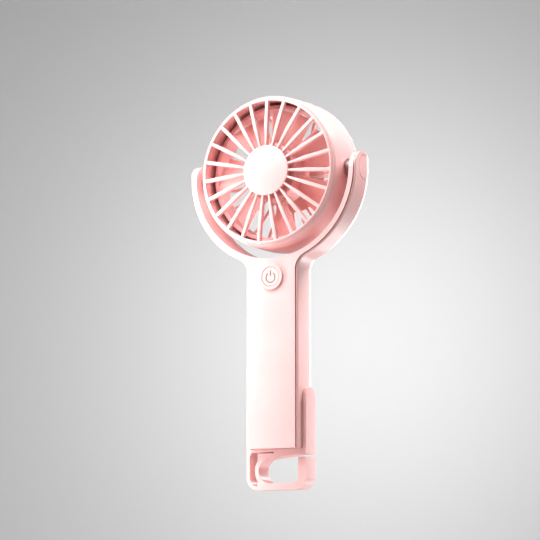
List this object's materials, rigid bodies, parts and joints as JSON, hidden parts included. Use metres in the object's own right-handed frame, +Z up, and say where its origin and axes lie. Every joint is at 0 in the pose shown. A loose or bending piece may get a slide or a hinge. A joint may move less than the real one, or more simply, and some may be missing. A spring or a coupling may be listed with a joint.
{
  "type": "handheld electric fan",
  "caption": "Slim handheld fan: a round caged head tilts in a U-shaped yoke on a straight grip with a power button and an open hanging loop below.",
  "frame": {"origin": "middle of the flat underside of the hanging loop, on the grip's axis", "axes": "+Z up along the grip to the head, -Y the side the air leaves by, +X to the right seen from the front"},
  "size_m": [0.0994, 0.0355, 0.208],
  "materials": {
    "pink_shell": "satin pink moulded plastic",
    "pink_button": "satin pink moulded plastic",
    "pink_impeller": "satin coral pink moulded plastic",
    "black_plastic": "matt black plastic",
    "circuit_board": "green solder mask",
    "steel": "plated steel",
    "pivot_metal": "dark plated steel",
    "light_pipe": "frosted clear plastic",
    "cell_wrap": "shrink sleeve",
    "red_wire": "wire insulation",
    "white_wire": "wire insulation",
    "black_wire": "wire insulation",
    "nylon": "natural nylon",
    "copper": "enamelled copper wire",
    "magnet": "bonded ferrite"
  },
  "bodies": {
    "grip": {"front_cover": "pink_shell", "rear_shell": "pink_shell", "pivot_cap_right": "pink_shell", "pivot_cap_left": "pink_shell", "hanging_loop": "pink_shell", "switch_body": "black_plastic", "main_board": "circuit_board", "board_components": "black_plastic", "usb_socket_shell": "steel", "usb_socket_tongue": "black_plastic", "charge_light": "light_pipe", "battery_cell": "cell_wrap", "battery_lead_red": "red_wire", "battery_lead_black": "black_wire", "shell_screws": "steel", "board_screws": "steel", "motor_leads_grip": "white_wire", "friction_washers": "nylon"},
    "head": {"barrel": "pink_shell", "front_grille": "pink_shell", "centre_cap": "pink_shell", "rear_grille": "pink_shell", "pivot_pin_right": "pivot_metal", "pivot_pin_left": "pivot_metal", "pivot_clips": "steel", "motor_leads_head": "white_wire", "stator_core": "steel", "stator_windings": "copper", "motor_board": "circuit_board", "shaft_bearings": "steel"},
    "impeller_unit": {"impeller": "pink_impeller", "rotor_cup": "steel", "magnet_ring": "magnet", "motor_shaft": "steel", "shaft_clip": "steel"},
    "button_unit": {"power_button": "pink_button", "switch_plunger": "black_plastic"}
  },
  "joints": [
    {"name": "head_tilt", "type": "hinge", "parent": "grip", "child": "head", "pos_m": [0, 0, 0.167], "axis": [1, 0, 0], "range_deg": [-90, 90]},
    {"name": "impeller_spin", "type": "hinge", "parent": "head", "child": "impeller_unit", "pos_m": [0, 0, 0.167], "axis": [0, -1, 0], "continuous": true},
    {"name": "button_press", "type": "slide", "parent": "grip", "child": "button_unit", "axis": [0, 1, 0], "range_m": [0, 0.0005], "stiffness_N_per_m": 1500, "springref_m": -0.0005}
  ]
}
